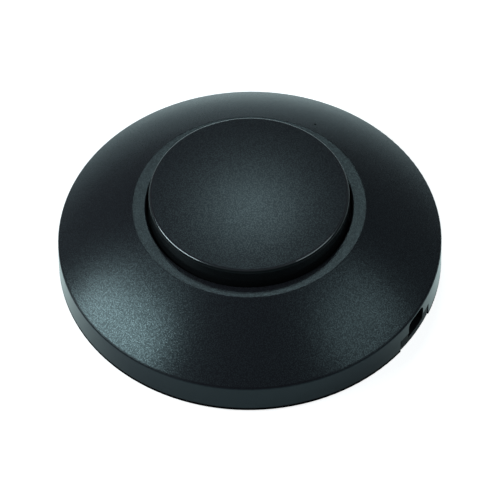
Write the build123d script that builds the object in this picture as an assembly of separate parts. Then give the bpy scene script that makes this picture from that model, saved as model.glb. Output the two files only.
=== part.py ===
from build123d import *
from math import cos, hypot, radians, sin, sqrt
import os

# Foot dimmer for the lead of a floor lamp, in millimetres.
# The origin is the middle of the footprint on the floor, +Z is up, and the two cable ports look
# along +X and -X. The round cover and the base plate are mouldings held by three screws from below.
# The foot presses the large button straight down against its spring, and the button's post works a
# push switch on the circuit board.

# Cover: rim wall, convex cone, flat ring, and the well that the button stands in
rim_radius = 50.0
rim_bottom = 0.8
rim_top = 9.35
rim_lean = 0.18
rim_edge_round = 0.3
shell = 2.2
inside_lean = 0.2
cone_top_radius = 30.1
ring_height = 21.75
cone_turn = 11.0
crease_round = 0.6
ring_edge_round = 0.4
well_radius = 26.6
well_wall = 2.0
well_floor = 16.5
well_floor_thickness = 2.0
well_root_round = 0.8
guide_bore_radius = 3.3
guide_radius = 5.8
guide_top = 19.5
guide_round = 0.5

# Button: travel, outer form with its drafted wall, and the parts under its cap
travel = 3.0
button_radius = 25.75
button_skirt_radius = 26.0
button_edge = 26.6
button_crown = 29.0
button_round = 1.0
button_wall = 2.0
skirt_bottom = well_floor + travel + 0.1
skirt_edge_round = 0.3
cap_root_round = 0.8
post_radius = 3.0
post_gap = 0.1
hook_angles = (90, 210, 330)
hook_inner = 21.0
hook_outer = 22.4
hook_width = 5.0
hook_catch = 1.0
hook_bottom = 12.3
hook_chamfer = 0.3
hook_land = 0.5
hook_slot_gap = 0.5
running_gap = 0.4

# Return spring between the well floor and the flat seat under the cap
spring_radius = 7.0
spring_wire = 1.0
spring_turns = 4.5
spring_seat = 25.6
spring_seat_outer = 9.4
spring_lip = 1.2
spring_ground = 0.2

# Cable ports in the rim
port_width = 7.4
port_floor = 3.25
port_top = 8.95
port_round = 2.0
port_depth = 8.0
port_angles = (0, 180)
notch_width = 14.4
notch_top = 5.2
tongue_setback = 0.25
tongue_gap = 0.5
tongue_top_gap = 0.2

# Base plate with its upstand, and the rubber feet in their recesses
base_bottom = 1.2
base_thickness = 2.0
base_gap = 0.5
base_edge_round = 0.6
upstand_top = 5.0
upstand_wall = 1.6
upstand_round = 0.4
stiffening_rings = (14.0, 22.0)
stiffening_height = 0.8
foot_radius = 5.0
foot_height = 2.0
foot_round = 0.7
foot_gap = 0.1
foot_circle = 37.0
foot_angles = (45, 135, 225, 315)

# Screws: head radius, head height, shank radius
housing_screw = (2.8, 1.9, 1.4)
board_screw = (2.2, 1.5, 1.1)
grip_screw = (2.2, 1.4, 1.1)
terminal_screw = (1.6, 1.4, 1.1)
slot_width = 0.7
housing_screw_length = 5.6
housing_screw_circle = 41.5
housing_screw_angles = (90, 210, 330)
head_sink = 0.3
cup_wall = 1.5
boss_radius = 3.3
boss_seat = 5.2
boss_web_lift = 1.5
boss_web_reach = 4.1
pilot_depth = 6.0

# Stiffening ribs under the cover and under the button's cap
rib_wall = 1.2
rib_length = 9.0
rib_count = 12
rib_lift = 1.3

# Circuit board
board_bottom = 5.5
board_thickness = 1.6
board_radius = 37.0
board_screw_circle = 33.5
board_screw_angles = (45, 157, 225, 315)
board_screw_length = 2.6
board_post_radius = 2.9

# Cord grips, each a bar screwed down on two posts over a saddle
grip_middle = 41.0
grip_depth = 4.6
grip_length = 17.6
grip_bottom = 6.8
grip_thickness = 2.2
grip_round = 1.6
grip_screw_reach = 6.4
grip_screw_length = 4.0
grip_post_radius = 2.5
grip_teeth = 1.2
grip_tooth_radius = 0.7

# Push switch and its plunger
switch_size = 8.5
switch_height = 5.2
switch_corner = 0.6
switch_floor = 0.6
lid_thickness = 0.6
plunger_reach = 3.3
plunger_radius = 1.7
flange_radius = 2.4
flange_thickness = 0.7
switch_gap = 0.3

# Power stage: the triac lies on its heat sink, and one screw holds both
triac_angle = 270.0
triac_circle = 21.5
triac_body = (9.2, 10.2, 4.4)
triac_tab = (15.6, 10.2, 1.3)
triac_screw_circle = 28.4
triac_leads = (3, 2.54)
triac_lead_lift = 2.4
lead_section = (0.8, 0.5)
sink_circle = 24.0
sink_size = (21.0, 21.0, 1.2)
sink_fin_height = 6.4
sink_notch_width = 9.0
sink_notch_gap = 1.2

# Interference choke, a coil round most of a ring core
choke_angle = 130.0
choke_circle = 25.6
choke_core_size = (8.0, 4.4, 5.0)
core_round = 0.5
winding_build = 1.0
winding_turn = 310.0

# Other pieces on the board: place as angle and circle, size as depth outwards, width and height
film_place = (66.0, 32.2)
film_size = (5.6, 13.0, 8.0)
film_round = 0.8
electrolytic_place = (98.0, 32.0)
electrolytic_radius = 3.15
electrolytic_length = 11.0
electrolytic_groove = 0.5
electrolytic_groove_setback = 2.0
chip_place = (215.0, 11.4)
chip_size = (6.4, 9.4, 3.3)
chip_lift = 0.5
chip_leads = 4
chip_pitch = 2.54
resistor_place = (318.0, 11.6)
resistor_radius = 2.2
resistor_length = 12.0
resistor_lift = 0.3
diode_places = ((168.0, 14.5), (168.0, 19.0))
diode_radius = 1.35
diode_length = 5.2
diode_lift = 0.2
can_chamfer = 0.3
lead_radius = 0.35
lead_reach = 1.6
varistor_place = (22.0, 33.0)
varistor_radius = 4.2
varistor_thickness = 3.6
varistor_round = 1.2
varistor_lift = 0.4
varistor_leads = (0.7, 2.5)

# Fuse in its two clips
fuse_place = (40.0, 21.5)
fuse_radius = 2.6
fuse_length = 20.0
fuse_axis = 3.6
fuse_cap_length = 5.0
fuse_cap_wall = 0.2
fuse_cap_chamfer = 0.3
clip_sheet = 0.4
clip_width = 4.0
clip_mouth = 3.2
clip_stem = 3.0
clip_foot = 5.4
clip_reach = 7.5

# Screw terminals
terminal_circle = 32.8
terminal_size = (7.2, 10.2, 7.2)
terminal_pitch = 5.0
terminal_chamfer = 0.8
terminal_bore = 1.7
terminal_entry = (10.0, 3.0, 0.9, 3.6)
terminal_screw_seat = 4.6
terminal_screw_length = 1.2

# Worked out from the above
board_top = board_bottom + board_thickness
base_top = base_bottom + base_thickness
base_radius = rim_radius - shell - base_gap
rim_top_radius = rim_radius - rim_lean
well_underside = well_floor - well_floor_thickness
switch_top = board_top + switch_height

# Clearance of a fitted part, of a screw in its hole, and how far a cutting body runs past a face
fit_gap = 0.05
screw_gap = 0.2
overrun = 1.0

standing = (Align.CENTER, Align.CENTER, Align.MIN)
outward = (Align.MIN, Align.CENTER, Align.MIN)


def cone_arc():
    """Centre and radius of the arc that the cone's outside follows, in radius and height."""
    rise = ring_height - rim_top
    run = rim_top_radius - cone_top_radius
    chord = hypot(run, rise)
    radius = chord / (2 * sin(radians(cone_turn / 2)))
    reach = radius * cos(radians(cone_turn / 2))
    middle = ((rim_top_radius + cone_top_radius) / 2, (rim_top + ring_height) / 2)
    return middle[0] - rise / chord * reach, middle[1] - run / chord * reach, radius


def cone_height(radius, depth=0.0):
    """Height of the cone's surface at a radius, or of the surface that lies that deep under it."""
    centre_r, centre_z, arc = cone_arc()
    return centre_z + sqrt((arc - depth) ** 2 - (radius - centre_r) ** 2)


def cone_radius(height, depth=0.0):
    """Radius at which the surface that lies that deep under the cone has this height."""
    centre_r, centre_z, arc = cone_arc()
    return centre_r + sqrt((arc - depth) ** 2 - (height - centre_z) ** 2)


def cone_curve(start, end, depth=0.0):
    """Arc of the cone, or of its inside, from one radius to another."""
    points = [(r, cone_height(r, depth)) for r in (start, (start + end) / 2, end)]
    return ThreePointArc(*points)


def closed_outline(*parts):
    """Face inside a chain of lines and arcs drawn in radius and height."""
    return make_face(Curve() + list(parts))


def polygon(*points):
    return make_face(Polyline(*points, close=True))


def rectangle(inner, outer, bottom, top):
    """Rectangular outline between two radii and two heights."""
    return polygon((inner, bottom), (outer, bottom), (outer, top), (inner, top))


def corner(outline, point):
    """Vertex of an outline that lies nearest a point."""
    return outline.vertices().sort_by_distance((point[0], point[1], 0))[0]


def rounded(outline, *corners):
    """The outline with each named corner rounded: (corner point, radius)."""
    for point, radius in corners:
        outline = fillet(corner(outline, point), radius)
    return outline


def bevelled(outline, size, *points):
    """The outline with each named corner cut off at 45 degrees."""
    for point in points:
        outline = chamfer(corner(outline, point), size)
    return outline


def turned(outline):
    """Solid of revolution about the Z axis of an outline in radius and height."""
    return revolve(Plane.XZ * outline, Axis.Z)


def at(angle, radius=0.0, height=0.0):
    """Place on a circle about the Z axis, its own X axis pointing outwards."""
    return Rot(0, 0, angle) * Pos(radius, 0, height)


def disc(radius, bottom, top):
    """Upright cylinder between two heights."""
    return Pos(0, 0, bottom) * Cylinder(radius, top - bottom, align=standing)


def tube(outer, inner, bottom, top):
    return disc(outer, bottom, top) - disc(inner, bottom, top)


def block(depth, width, bottom, top):
    """Upright block between two heights, centred on the axis."""
    return Pos(0, 0, bottom) * Box(depth, width, top - bottom, align=standing)


def top_chamfered(shape, size):
    return chamfer(shape.edges().group_by(Axis.Z)[-1], size)


def screw_hole(screw_sizes):
    """Clearance hole for a screw's shank through anything below the ring's height."""
    return disc(screw_sizes[2] + screw_gap, 0, ring_height)


def screw(sizes, seat, length, upright=True):
    """Pan-head screw whose head sits on a seat: its shank goes down, or up if upright is False."""
    head_radius, head_height, shank_radius = sizes
    dome = 0.35 * head_height
    head = rounded(rectangle(0, head_radius, 0, head_height), ((head_radius, head_height), dome))
    slot = block(2 * head_radius + overrun, slot_width, 0.55 * head_height, head_height + overrun)
    shank = disc(shank_radius, -length, 0)
    tip = turned(polygon((0, -length - shank_radius), (shank_radius, -length), (0, -length)))
    whole = turned(head) - slot + shank + tip
    if not upright:
        whole = Rot(180, 0, 0) * whole
    return Pos(0, 0, seat) * whole


def port_cut(bottom):
    """Prism that cuts a cable port along X from a given height up, with its rounded top corners."""
    half = port_width / 2
    outline = polygon((-half, bottom), (half, bottom), (half, port_top), (-half, port_top))
    outline = rounded(outline, ((half, port_top), port_round), ((-half, port_top), port_round))
    return extrude(Plane.YZ * outline, rim_radius + overrun) - disc(rim_radius - port_depth, 0, ring_height)


def cover_section():
    """Wall section of the cover, from the rim's lower edge over the cone and down into the well."""
    inside_top = ring_height - shell
    ring_inner = well_radius + well_wall
    inner_wall = rim_radius - shell - inside_lean
    outline = closed_outline(
        Line((rim_radius, rim_bottom), (rim_top_radius, rim_top)),
        cone_curve(rim_top_radius, cone_top_radius),
        Polyline(
            (cone_top_radius, ring_height),
            (well_radius, ring_height),
            (well_radius, well_floor),
            (guide_radius, well_floor),
            (guide_radius, guide_top),
            (guide_bore_radius, guide_top),
            (guide_bore_radius, well_underside),
            (ring_inner, well_underside),
            (ring_inner, inside_top),
            (cone_radius(inside_top, shell), inside_top),
        ),
        cone_curve(cone_radius(inside_top, shell), inner_wall, shell),
        Polyline(
            (inner_wall, cone_height(inner_wall, shell)),
            (inner_wall, rim_bottom),
            (rim_radius, rim_bottom),
        ),
    )
    return rounded(
        outline,
        ((rim_radius, rim_bottom), rim_edge_round),
        ((rim_top_radius, rim_top), crease_round),
        ((cone_top_radius, ring_height), ring_edge_round),
        ((well_radius, ring_height), ring_edge_round),
        ((well_radius, well_floor), well_root_round),
        ((ring_inner, well_underside), well_root_round),
        ((guide_radius, guide_top), guide_round),
    )


def cover_envelope():
    """Filled form under the cover's outside, which trims bosses and ribs to the shell."""
    depth = shell / 2
    inner = rim_top_radius - depth
    return turned(
        closed_outline(
            Polyline((0, rim_bottom), (inner, rim_bottom), (inner, cone_height(inner, depth))),
            cone_curve(inner, cone_top_radius, depth),
            Polyline(
                (cone_top_radius, cone_height(cone_top_radius, depth)),
                (0, ring_height),
                (0, rim_bottom),
            ),
        )
    )


def hook_slot():
    """Hole in the well's floor that a snap hook passes and catches under."""
    inner = hook_inner - hook_catch - hook_chamfer
    depth = hook_outer + running_gap - inner
    slot = block(depth, hook_width + 2 * hook_slot_gap, well_underside - overrun, well_floor + overrun)
    return Pos(inner + depth / 2, 0, 0) * slot


def top_cover():
    shape = turned(cover_section())
    inside = cover_envelope()
    rib_inner = well_radius + well_wall / 2
    for index in range(rib_count):
        rib = Box(rib_length, rib_wall, ring_height, align=outward)
        shape += at(360 / rib_count * index, rib_inner, well_underside + rib_lift) * rib & inside
    for angle in housing_screw_angles:
        shape += at(angle, housing_screw_circle) * disc(boss_radius, boss_seat, ring_height) & inside
        web = block(2 * shell, rib_wall, boss_seat + boss_web_lift, ring_height)
        shape += at(angle, housing_screw_circle + boss_web_reach) * web & inside
    for angle in housing_screw_angles:
        pilot = disc(housing_screw[2] + fit_gap, boss_seat - overrun, boss_seat + pilot_depth)
        shape -= at(angle, housing_screw_circle) * pilot
    for angle in hook_angles:
        shape -= Rot(0, 0, angle) * hook_slot()
    for angle in port_angles:
        shape -= Rot(0, 0, angle) * port_cut(notch_top - overrun)
        notch = block(3 * shell, notch_width, rim_bottom - overrun, notch_top)
        shape -= at(angle, rim_radius - shell / 2) * notch
    return shape


def cap_curve(reach, depth=0.0):
    """Arc of the button's domed top from the axis out to a radius, or of its underside."""
    rise = button_crown - button_edge
    arc = (button_radius**2 + rise**2) / (2 * rise)
    centre = button_crown - arc
    points = [(r, centre + sqrt((arc - depth) ** 2 - r**2)) for r in (0, reach / 2, reach)]
    return ThreePointArc(*points), points[-1][1]


def cap_envelope():
    """Filled form of the button from the axis to half its wall."""
    reach = button_radius - button_wall / 2
    top, edge = cap_curve(reach, shell / 2)
    crown = button_crown - shell / 2
    return turned(closed_outline(top, Polyline((reach, edge), (reach, 0), (0, 0), (0, crown))))


def snap_hook():
    """Arm with a barbed foot, drawn from the side and as wide as the slot allows."""
    barb_top = well_underside - fit_gap * 2
    barb_outer = hook_outer + running_gap + hook_catch
    side = polygon(
        (hook_inner, button_crown),
        (hook_inner, hook_bottom),
        (hook_outer - hook_chamfer, hook_bottom),
        (barb_outer, barb_top - hook_land),
        (barb_outer, barb_top),
        (hook_outer, barb_top),
        (hook_outer, button_crown),
    )
    return extrude(Plane.XZ * side, hook_width / 2, both=True)


def button_shell():
    """Domed cap with its drafted wall, of one thickness all over."""
    inner_top, inner_edge = cap_curve(button_radius - button_wall, shell)
    outer_top, outer_edge = cap_curve(button_radius)
    outline = closed_outline(
        outer_top,
        Polyline(
            (button_radius, outer_edge),
            (button_skirt_radius, skirt_bottom),
            (button_skirt_radius - button_wall, skirt_bottom),
            (button_radius - button_wall, inner_edge),
        ),
        inner_top,
        Line((0, button_crown - shell), (0, button_crown)),
    )
    return turned(
        rounded(
            outline,
            ((button_radius, outer_edge), button_round),
            ((button_skirt_radius, skirt_bottom), skirt_edge_round),
            ((button_radius - button_wall, inner_edge), cap_root_round),
        )
    )


def button_cap():
    shape = button_shell()
    inside = cap_envelope()
    post_bottom = switch_top + plunger_reach + post_gap
    shape += disc(post_radius, post_bottom, button_crown) & inside
    root = post_radius - overrun
    lip_bottom = spring_seat - spring_lip
    shape += turned(
        polygon(
            (root, spring_seat),
            (spring_seat_outer - spring_lip, spring_seat),
            (spring_seat_outer - spring_lip, lip_bottom),
            (spring_seat_outer, lip_bottom),
            (spring_seat_outer, button_crown),
            (root, button_crown),
        )
    ) & inside
    rib_inner = spring_seat_outer - overrun
    for angle in hook_angles:
        shape += Rot(0, 0, angle) * snap_hook() & inside
        for turn, reach in ((0, hook_inner), (60, button_radius)):
            rib = Box(reach - rib_inner, rib_wall, ring_height, align=outward)
            shape += at(angle + turn, rib_inner, lip_bottom) * rib & inside
    return shape


def return_spring():
    """Helical wire with its ends ground flat on the floor and the seat."""
    ground = spring_ground * spring_wire
    pitch = (spring_seat - well_floor - 2 * ground) / spring_turns
    path = Helix(pitch, pitch * spring_turns, spring_radius)
    start = Plane(origin=path @ 0, z_dir=path % 0)
    wire = Pos(0, 0, well_floor + ground) * sweep(start * Circle(spring_wire / 2), path=path)
    return wire & disc(spring_radius + spring_wire, well_floor, spring_seat)


def base_section():
    """Section of the base plate's dished disc, with the upstand that centres the cover."""
    inner = base_radius - upstand_wall
    outline = polygon(
        (0, base_bottom),
        (base_radius, base_bottom),
        (base_radius, upstand_top),
        (inner, upstand_top),
        (inner, base_top),
        (0, base_top),
    )
    return rounded(
        outline,
        ((base_radius, base_bottom), base_edge_round),
        ((base_radius, upstand_top), upstand_round),
    )


def port_tongue():
    """Piece of the base plate that fills the notch in the rim under a cable port."""
    tongue = block(rim_radius, notch_width - 2 * tongue_gap, base_bottom, notch_top - tongue_top_gap)
    outer, inner = rim_radius - tongue_setback, base_radius - upstand_wall
    return Pos(rim_radius, 0, 0) * tongue & tube(outer, inner, 0, notch_top)


def base_plate():
    shape = turned(base_section())
    root = base_top - overrun / 2
    for size in stiffening_rings:
        ring_top = base_top + stiffening_height
        shape += tube(size + rib_wall / 2, size - rib_wall / 2, root, ring_top)
    for angle in port_angles:
        saddle = at(0, grip_middle) * block(grip_depth, 2 * grip_screw_reach, root, port_floor)
        shape += Rot(0, 0, angle) * (port_tongue() + saddle)
        shape -= Rot(0, 0, angle) * port_cut(port_floor)
        for side in (-grip_screw_reach, grip_screw_reach):
            post = disc(grip_post_radius, root, grip_bottom)
            post -= disc(grip_screw[2] + fit_gap, base_top, grip_bottom + overrun)
            shape += at(angle, grip_middle) * Pos(0, side, 0) * post
    for angle in board_screw_angles:
        post = disc(board_post_radius, root, board_bottom)
        post -= disc(board_screw[2] + fit_gap, base_top, board_bottom + overrun)
        shape += at(angle, board_screw_circle) * post
    for angle in foot_angles:
        recess = disc(foot_radius + foot_gap, base_bottom - overrun, foot_height)
        shape -= at(angle, foot_circle) * recess
    head_radius, head_height, shank_radius = housing_screw
    counterbore = head_radius + head_sink
    for angle in housing_screw_angles:
        place = at(angle, housing_screw_circle)
        shape += place * disc(counterbore + cup_wall, base_bottom, boss_seat)
    for angle in housing_screw_angles:
        place = at(angle, housing_screw_circle)
        shape -= place * disc(counterbore, base_bottom - overrun, base_bottom + head_height + head_sink)
        shape -= place * disc(shank_radius + screw_gap, 0, boss_seat + overrun)
    return shape


def rubber_feet():
    foot = rounded(rectangle(0, foot_radius, 0, foot_height), ((foot_radius, 0), foot_round))
    return [at(angle, foot_circle) * turned(foot) for angle in foot_angles]


def circuit_board():
    shape = disc(board_radius, board_bottom, board_top)
    for angle in board_screw_angles:
        shape -= at(angle, board_screw_circle) * screw_hole(board_screw)
    return shape - at(triac_angle, triac_screw_circle) * screw_hole(board_screw)


def push_switch_body():
    """Square case, hollow for the plunger's flange, with a bore in its lid."""
    shape = block(switch_size, switch_size, board_top, switch_top)
    shape = chamfer(shape.edges().filter_by(Axis.Z), switch_corner)
    shape -= disc(flange_radius + switch_gap, board_top + switch_floor, switch_top - lid_thickness)
    shape -= disc(plunger_radius + switch_gap, board_top + switch_floor, switch_top + overrun)
    return shape


def switch_plunger():
    flange_top = switch_top - lid_thickness - 2 * fit_gap
    stem = disc(plunger_radius, flange_top - flange_thickness, switch_top + plunger_reach)
    stem = top_chamfered(stem, switch_gap)
    return stem + disc(flange_radius, flange_top - flange_thickness, flange_top)


def bent_leads(count, pitch, inner, height):
    """Flat leads that leave a part inwards at a height and turn down to the board."""
    width, thickness = lead_section
    run = Box(6 * thickness, width, thickness)
    drop = Pos(-2.5 * thickness, 0, -height) * block(thickness, width, board_top, height)
    lead = Pos(inner - 3 * thickness, 0, height) * (run + drop)
    return [Pos(0, (index - (count - 1) / 2) * pitch, 0) * lead for index in range(count)]


def triac():
    seat = board_top + sink_size[2]
    depth, width, height = triac_body
    body = top_chamfered(block(depth, width, seat + lead_section[1], seat + height), switch_corner)
    body = Pos(triac_circle, 0, 0) * body
    inner = triac_circle - depth / 2
    body += Pos(inner + switch_corner, 0, seat) * Box(*triac_tab, align=outward)
    body -= Pos(triac_screw_circle, 0, 0) * screw_hole(board_screw)
    for lead in bent_leads(*triac_leads, inner + screw_gap, seat + triac_lead_lift):
        body += lead
    return Rot(0, 0, triac_angle) * body


def heat_sink():
    """Aluminium sheet folded up into a fin on each side."""
    depth, width, sheet = sink_size
    shape = block(depth, width, board_top, board_top + sheet)
    for side in (-1, 1):
        fin = block(depth, sheet, board_top, board_top + sink_fin_height)
        shape += Pos(0, side * (width - sheet) / 2, 0) * fin
    shape = Pos(sink_circle, 0, 0) * shape
    notch_outer = triac_circle - triac_body[0] / 2 - sink_notch_gap
    notch = Pos(notch_outer - depth / 2, 0, 0) * block(depth, sink_notch_width, 0, board_top + 2 * sheet)
    shape -= notch
    shape -= Pos(triac_screw_circle, 0, 0) * screw_hole(board_screw)
    return Rot(0, 0, triac_angle) * shape


def triac_screw():
    """Its tip ends at the board's underside."""
    seat = board_top + sink_size[2] + triac_tab[2]
    length = seat - board_bottom - board_screw[2] / 2
    return at(triac_angle, triac_screw_circle) * screw(board_screw, seat, length)


def ring_section(inner, outer, bottom, top, corner_cut):
    """Rectangular section of a ring with all four corners cut off."""
    corners = [(r, z) for r in (inner, outer) for z in (bottom, top)]
    return bevelled(rectangle(inner, outer, bottom, top), corner_cut, *corners)


def choke_core():
    outer, inner, height = choke_core_size
    bottom = board_top + winding_build
    ring = ring_section(inner, outer, bottom, bottom + height, core_round)
    return at(choke_angle, choke_circle) * turned(ring)


def choke_winding():
    """The whole coil as one sleeve round most of the ring core."""
    outer, inner, height = choke_core_size
    build = winding_build
    top = board_top + height + 2 * build
    gap = fit_gap
    hole = ring_section(inner - gap, outer + gap, board_top + build - gap, top - build + gap, core_round)
    skin = ring_section(inner - build, outer + build, board_top, top, core_round + build / 2)
    sleeve = revolve(Plane.XZ * (skin - hole), Axis.Z, winding_turn)
    return at(choke_angle, choke_circle) * Rot(0, 0, (360 - winding_turn) / 2) * sleeve


def film_capacitor():
    depth, width, height = film_size
    body = block(depth, width, board_top, board_top + height)
    return at(*film_place) * fillet(body.edges().filter_by(Axis.Z), film_round)


def lying_can(place, radius, length, height, groove=0.0):
    """Round part that lies across the board, its axis along the circle, with a groove near one end."""
    half = length / 2
    outline = bevelled(rectangle(0, radius, -half, half), can_chamfer, (radius, -half), (radius, half))
    if groove:
        middle = half - electrolytic_groove_setback
        outline -= polygon((radius - groove, middle), (radius, middle + groove), (radius, middle - groove))
    angle, circle = place
    return at(angle, circle, height) * Rot(90, 0, 0) * turned(outline)


def with_wire_ends(can, place, length, height):
    """Adds the two axial leads, each bent down into the board."""
    for side in (-1, 1):
        reach = length / 2 + lead_reach
        run = Rot(90, 0, 0) * Cylinder(lead_radius, 1.5 * lead_reach)
        run = Pos(0, side * (reach - lead_reach * 0.75), height) * run
        drop = Pos(0, side * reach, 0) * disc(lead_radius, board_top, height + lead_radius)
        can += at(*place) * (run + drop)
    return can


def electrolytic_capacitor():
    size = (electrolytic_radius, electrolytic_length)
    return lying_can(electrolytic_place, *size, board_top + electrolytic_radius, electrolytic_groove)


def power_resistor():
    height = board_top + resistor_radius + resistor_lift
    body = lying_can(resistor_place, resistor_radius, resistor_length, height)
    return with_wire_ends(body, resistor_place, resistor_length, height)


def diodes():
    height = board_top + diode_radius + diode_lift
    made = []
    for place in diode_places:
        body = lying_can(place, diode_radius, diode_length, height)
        made.append(with_wire_ends(body, place, diode_length, height))
    return made


def controller_chip():
    """Moulded body on two rows of legs, each with a wide shoulder."""
    depth, width, height = chip_size
    exit_height = board_top + chip_lift + height / 2
    body = block(depth, width, board_top + chip_lift, board_top + chip_lift + height)
    body = top_chamfered(body, can_chamfer)
    shoulder = Pos(depth / 2 + 0.2, 0, exit_height) * Box(1.0, 1.2, 0.3)
    leg = Pos(depth / 2 + 0.55, 0, 0) * block(0.3, 0.9, board_top, exit_height + 0.15)
    for turn in (0, 180):
        for index in range(chip_leads):
            side = (index - (chip_leads - 1) / 2) * chip_pitch
            body += Rot(0, 0, turn) * Pos(0, side, 0) * (shoulder + leg)
    return at(*chip_place) * body


def varistor():
    height = board_top + varistor_lift + varistor_radius
    body = fillet(Cylinder(varistor_radius, varistor_thickness).edges(), varistor_round)
    body = Pos(0, 0, height) * Rot(0, 90, 0) * body
    lead_x, lead_y = varistor_leads
    for side in (-1, 1):
        body += Pos(side * lead_x, side * lead_y, 0) * disc(lead_radius, board_top, height)
    return at(*varistor_place) * body


def fuse():
    """Sealed glass tube with its two metal end caps, as one piece."""
    half = fuse_length / 2
    shoulder = half - fuse_cap_length
    glass = fuse_radius - fuse_cap_wall
    outline = polygon(
        (0, -half),
        (fuse_radius, -half),
        (fuse_radius, -shoulder),
        (glass, -shoulder),
        (glass, shoulder),
        (fuse_radius, shoulder),
        (fuse_radius, half),
        (0, half),
    )
    outline = bevelled(outline, fuse_cap_chamfer, (fuse_radius, -half), (fuse_radius, half))
    angle, circle = fuse_place
    return at(angle, circle, board_top + fuse_axis) * Rot(90, 0, 0) * turned(outline)


def fuse_clips():
    """Two spring clips of bent strip: a flat foot and two curved cheeks that hug the cap."""
    inner = fuse_radius + fit_gap
    hoop = Circle(inner + clip_sheet) - Circle(inner)
    hoop -= Pos(0, inner) * Rectangle(clip_mouth, clip_mouth)
    stem = Pos(0, -(inner + fuse_axis) / 2) * Rectangle(clip_stem, fuse_axis - inner)
    foot = Pos(0, -fuse_axis + clip_sheet / 2) * Rectangle(clip_foot, clip_sheet)
    clip = extrude(Plane.XZ * (hoop + (stem - Circle(inner)) + foot), clip_width / 2, both=True)
    angle, circle = fuse_place
    place = at(angle, circle, board_top + fuse_axis)
    return [place * Pos(0, side, 0) * clip for side in (-clip_reach, clip_reach)]


def terminal():
    """Terminal block for two wires: a screw well over each wire's entry."""
    depth, width, height = terminal_size
    entry_depth, entry_width, entry_low, entry_high = terminal_entry
    body = top_chamfered(block(depth, width, board_top, board_top + height), terminal_chamfer)
    for side in (-terminal_pitch / 2, terminal_pitch / 2):
        well = disc(terminal_bore, board_top + entry_high, board_top + height + overrun)
        entry = block(entry_depth, entry_width, board_top + entry_low, board_top + entry_high)
        body -= Pos(0, side, 0) * (well + Pos(depth / 2, 0, 0) * entry)
    return Pos(terminal_circle, 0, 0) * body


def terminal_screws():
    made = screw(terminal_screw, board_top + terminal_screw_seat, terminal_screw_length)
    sides = (-terminal_pitch / 2, terminal_pitch / 2)
    return [at(angle, terminal_circle) * Pos(0, side, 0) * made for angle in port_angles for side in sides]


def cord_grip():
    """Moulded bar with two blunt teeth that press the lead on the saddle."""
    bar = block(grip_depth, grip_length, grip_bottom, grip_bottom + grip_thickness)
    bar = fillet(bar.edges().filter_by(Axis.Z), grip_round)
    bar = top_chamfered(bar, can_chamfer)
    tooth = Rot(90, 0, 0) * Cylinder(grip_tooth_radius, 2 * (grip_screw_reach - grip_post_radius) - 1)
    for side in (-grip_teeth, grip_teeth):
        bar += Pos(side, 0, grip_bottom) * tooth
    for side in (-grip_screw_reach, grip_screw_reach):
        bar -= Pos(0, side, 0) * screw_hole(grip_screw)
    return Pos(grip_middle, 0, 0) * bar


def cord_grip_screws():
    made = screw(grip_screw, grip_bottom + grip_thickness, grip_screw_length)
    sides = (-grip_screw_reach, grip_screw_reach)
    return [at(angle, grip_middle) * Pos(0, side, 0) * made for angle in port_angles for side in sides]


def housing_screws():
    seat = base_bottom + housing_screw[1] + head_sink
    made = screw(housing_screw, seat, housing_screw_length, upright=False)
    return [at(angle, housing_screw_circle) * made for angle in housing_screw_angles]


def board_screws():
    made = screw(board_screw, board_top, board_screw_length)
    return [at(angle, board_screw_circle) * made for angle in board_screw_angles]


def write(name, shape):
    """Writes one node: a single solid, or a group of like ones."""
    if isinstance(shape, list):
        shape = Compound(children=[piece.solid() for piece in shape])
    export_step(shape, f"parts/{name}.step")


os.makedirs("parts", exist_ok=True)
write("top_cover", top_cover())
write("button_cap", button_cap())
write("return_spring", return_spring())
write("base_plate", base_plate())
write("rubber_feet", rubber_feet())
write("circuit_board", circuit_board())
write("push_switch_body", push_switch_body())
write("switch_plunger", switch_plunger())
write("triac", triac())
write("heat_sink", heat_sink())
write("triac_screw", triac_screw())
write("choke_core", choke_core())
write("choke_winding", choke_winding())
write("film_capacitor", film_capacitor())
write("electrolytic_capacitor", electrolytic_capacitor())
write("power_resistor", power_resistor())
write("diodes", diodes())
write("controller_chip", controller_chip())
write("varistor", varistor())
write("fuse", fuse())
write("fuse_clips", fuse_clips())
write("supply_terminal", terminal())
write("lamp_terminal", Rot(0, 0, 180) * terminal())
write("terminal_screws", terminal_screws())
write("supply_cord_grip", cord_grip())
write("lamp_cord_grip", Rot(0, 0, 180) * cord_grip())
write("cord_grip_screws", cord_grip_screws())
write("housing_screws", housing_screws())
write("board_screws", board_screws())
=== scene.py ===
import math

import bpy
import numpy as np
from mathutils import Matrix, Vector


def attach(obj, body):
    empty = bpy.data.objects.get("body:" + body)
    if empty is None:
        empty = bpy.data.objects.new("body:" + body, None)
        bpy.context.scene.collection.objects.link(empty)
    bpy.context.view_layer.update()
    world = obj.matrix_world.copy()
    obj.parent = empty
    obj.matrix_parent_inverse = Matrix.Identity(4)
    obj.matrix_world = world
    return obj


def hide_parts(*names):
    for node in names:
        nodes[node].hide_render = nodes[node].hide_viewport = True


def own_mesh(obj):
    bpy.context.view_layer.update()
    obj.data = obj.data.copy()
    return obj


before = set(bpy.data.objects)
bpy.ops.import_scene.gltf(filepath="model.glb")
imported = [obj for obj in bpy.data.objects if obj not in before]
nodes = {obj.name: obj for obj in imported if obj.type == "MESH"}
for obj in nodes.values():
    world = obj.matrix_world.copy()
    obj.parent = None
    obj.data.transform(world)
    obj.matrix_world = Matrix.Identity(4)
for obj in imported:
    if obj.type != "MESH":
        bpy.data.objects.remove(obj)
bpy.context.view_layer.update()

# Camera
# A long lens about 0.9 m away looks down on the dimmer at 51 degrees, one cable port turned 32 degrees
# to the right of the viewer. Directions named "photo" have +X right and +Y away from the viewer.
view_turn = math.radians(32.0)
view_elevation = math.radians(51.26)
view_roll = math.radians(-0.90)
view_distance = 0.9
focal_pixels = 3446.0
image_pixels = 500.0
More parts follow.
